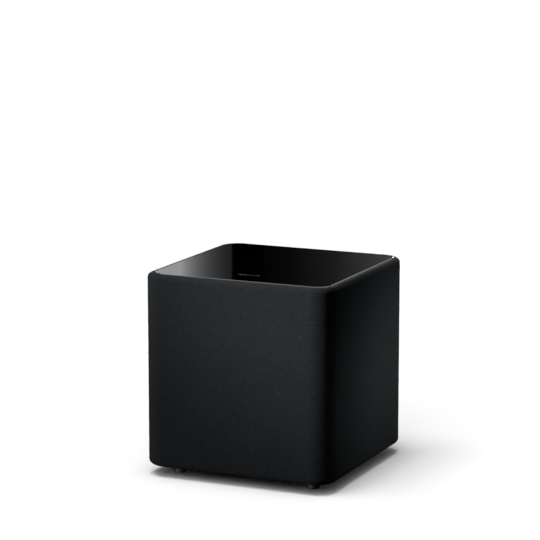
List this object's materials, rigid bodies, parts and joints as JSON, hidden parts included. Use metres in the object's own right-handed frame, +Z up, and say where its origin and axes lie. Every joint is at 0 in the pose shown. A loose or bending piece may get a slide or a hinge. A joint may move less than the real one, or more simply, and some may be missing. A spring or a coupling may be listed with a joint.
{
  "type": "subwoofer",
  "caption": "Cloth-wrapped cube subwoofer with rounded corners, a gloss top panel, round feet, a long-throw driver behind the front cloth and a recessed rear amplifier.",
  "frame": {"origin": "on the floor under the middle of the cabinet", "axes": "+Z up, the front with the driver faces -Y, the amplifier faces +Y, +X to the right seen from the front"},
  "size_m": [0.35, 0.35, 0.355],
  "materials": {
    "mdf": "raw fibreboard",
    "moulding_black": "fine matte",
    "sleeve_cloth": "fine plain weave",
    "panel_gloss": "high gloss",
    "inlay_metal": "satin",
    "wadding_fibre": "lofty fibre",
    "foot_plastic": "satin",
    "soft_rubber": "matte",
    "gasket_foam": "matte",
    "screw_steel": "black zinc",
    "basket_coat": "powder coat",
    "cone_paper": "pressed pulp",
    "former_foil": "foil",
    "coil_copper": "enamelled copper",
    "spider_cloth": "resin-dipped cotton",
    "motor_steel": "zinc plated",
    "magnet_ferrite": "ground ferrite",
    "tag_board": "phenolic",
    "dish_coat": "powder coat",
    "circuit_green": "solder mask",
    "sink_aluminium": "extruded",
    "core_ferrite": "ferrite and tape",
    "can_sleeve": "shrink sleeve",
    "switch_black": "fine matte",
    "knob_black": "satin",
    "shaft_metal": "turned",
    "phono_plating": "gold plated",
    "terminal_green": "moulded",
    "lens_clear": "diffusing",
    "lead_sleeve": "insulation"
  },
  "bodies": {
    "cabinet": {"front_baffle": "mdf", "rear_baffle": "mdf", "left_side_panel": "mdf", "right_side_panel": "mdf", "top_board": "mdf", "bottom_board": "mdf", "corner_posts": "mdf", "window_brace": "mdf", "top_tray": "moulding_black", "bottom_tray": "moulding_black", "grille_frame": "moulding_black", "fabric_wrap": "sleeve_cloth", "top_panel": "panel_gloss", "top_inlay": "inlay_metal", "wadding": "wadding_fibre", "foot_front_left": "foot_plastic", "foot_front_right": "foot_plastic", "foot_rear_left": "foot_plastic", "foot_rear_right": "foot_plastic", "foot_pads": "soft_rubber", "surround": "soft_rubber", "driver_gasket": "gasket_foam", "amp_gasket": "gasket_foam", "foot_screws": "screw_steel", "driver_screws": "screw_steel", "amp_screws": "screw_steel", "driver_basket": "basket_coat", "spider": "spider_cloth", "top_plate": "motor_steel", "back_plate": "motor_steel", "standoffs": "motor_steel", "magnet": "magnet_ferrite", "terminal_strip": "tag_board", "amp_plate": "dish_coat", "amp_board": "circuit_green", "heatsink": "sink_aluminium", "pots": "sink_aluminium", "transformer": "core_ferrite", "capacitors": "can_sleeve", "switch_bodies": "switch_black", "rocker_housing": "switch_black", "mains_inlet": "switch_black", "trigger_jack": "switch_black", "phono_sockets": "phono_plating", "speaker_terminal": "terminal_green", "status_lens": "lens_clear", "driver_leads": "lead_sleeve"},
    "cone_assembly": {"cone": "cone_paper", "dust_cap": "cone_paper", "coil_former": "former_foil", "voice_coil": "coil_copper"},
    "volume_control": {"volume_knob": "knob_black", "volume_shaft": "shaft_metal"},
    "crossover_control": {"crossover_knob": "knob_black", "crossover_shaft": "shaft_metal"},
    "phase_switch": {"phase_slider": "switch_black"},
    "equaliser_switch": {"equaliser_slider": "switch_black"},
    "mode_switch": {"mode_slider": "switch_black"},
    "rocker": {"power_rocker": "switch_black"},
    "fuse_holder": {"fuse_drawer": "switch_black"}
  },
  "joints": [
    {"name": "cone_travel", "type": "slide", "parent": "cabinet", "child": "cone_assembly", "axis": [0, -1, 0], "range_m": [-0.01, 0.01], "stiffness_N_per_m": 1500, "deforming": ["surround", "spider"]},
    {"name": "volume_turn", "type": "hinge", "parent": "cabinet", "child": "volume_control", "pos_m": [0.052, 0.16, 0.258], "axis": [0, -1, 0], "range_deg": [-150, 150]},
    {"name": "crossover_turn", "type": "hinge", "parent": "cabinet", "child": "crossover_control", "pos_m": [0, 0.16, 0.258], "axis": [0, -1, 0], "range_deg": [-150, 150]},
    {"name": "phase_slide", "type": "slide", "parent": "cabinet", "child": "phase_switch", "axis": [1, 0, 0], "range_m": [0, 0.003]},
    {"name": "equaliser_slide", "type": "slide", "parent": "cabinet", "child": "equaliser_switch", "axis": [1, 0, 0], "range_m": [-0.002, 0.002]},
    {"name": "mode_slide", "type": "slide", "parent": "cabinet", "child": "mode_switch", "axis": [1, 0, 0], "range_m": [-0.002, 0.002]},
    {"name": "rocker_tilt", "type": "hinge", "parent": "cabinet", "child": "rocker", "pos_m": [0.045, 0.157, 0.116], "axis": [1, 0, 0], "range_deg": [-16, 0]},
    {"name": "fuse_drawer_slide", "type": "slide", "parent": "cabinet", "child": "fuse_holder", "axis": [0, 1, 0], "range_m": [0, 0.018]}
  ]
}
